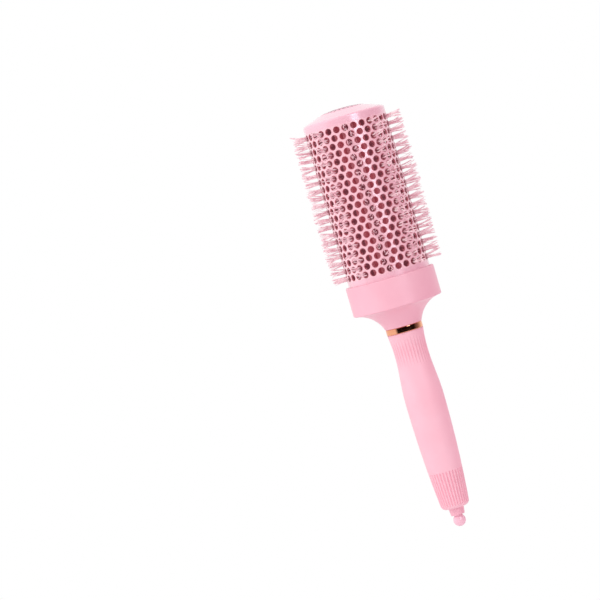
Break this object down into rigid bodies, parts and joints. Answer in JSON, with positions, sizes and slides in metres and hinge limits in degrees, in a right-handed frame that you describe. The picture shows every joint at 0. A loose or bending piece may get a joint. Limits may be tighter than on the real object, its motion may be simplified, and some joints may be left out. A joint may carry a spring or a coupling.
{
  "type": "round barrel hair brush",
  "caption": "Round brush for blow drying: vented metal barrel with rows of nylon bristles, wide collar, soft waisted handle and a ball-ended pick that slides out of its end.",
  "frame": {"origin": "on the brush's axis, at mid height of the collar's cylindrical band", "axes": "+Z along the axis towards the barrel's tip, the handle runs to -Z; -Y points at the middle of the first strip of bristles"},
  "size_m": [0.062, 0.0636, 0.2333],
  "materials": {
    "barrel_coat": "pearly ceramic coat",
    "cap_plastic": "gloss",
    "spindle_plastic": "moulded",
    "screw_steel": "zinc plated",
    "washer_steel": "zinc plated",
    "bristle_nylon": "translucent nylon",
    "collar_plastic": "satin gloss",
    "ring_metal": "polished copper gold",
    "core_plastic": "moulded",
    "soft_touch": "soft-touch satin",
    "socket_plastic": "gloss",
    "pick_plastic": "gloss"
  },
  "bodies": {
    "brush": {"barrel": "barrel_coat", "end_cap": "cap_plastic", "core_spindle": "spindle_plastic", "assembly_screw": "screw_steel", "screw_washer": "washer_steel", "bristle_strip_01": "bristle_nylon", "bristle_strip_02": "bristle_nylon", "bristle_strip_03": "bristle_nylon", "bristle_strip_04": "bristle_nylon", "bristle_strip_05": "bristle_nylon", "bristle_strip_06": "bristle_nylon", "bristle_strip_07": "bristle_nylon", "bristle_strip_08": "bristle_nylon", "bristle_strip_09": "bristle_nylon", "bristle_strip_10": "bristle_nylon", "collar": "collar_plastic", "trim_ring": "ring_metal", "handle_core": "core_plastic", "handle_grip": "soft_touch", "pick_socket": "socket_plastic"},
    "pick": {"sectioning_pick": "pick_plastic"}
  },
  "joints": [
    {"name": "pick_slide", "type": "slide", "parent": "brush", "child": "pick", "axis": [0, 0, -1], "range_m": [0, 0.073]}
  ]
}
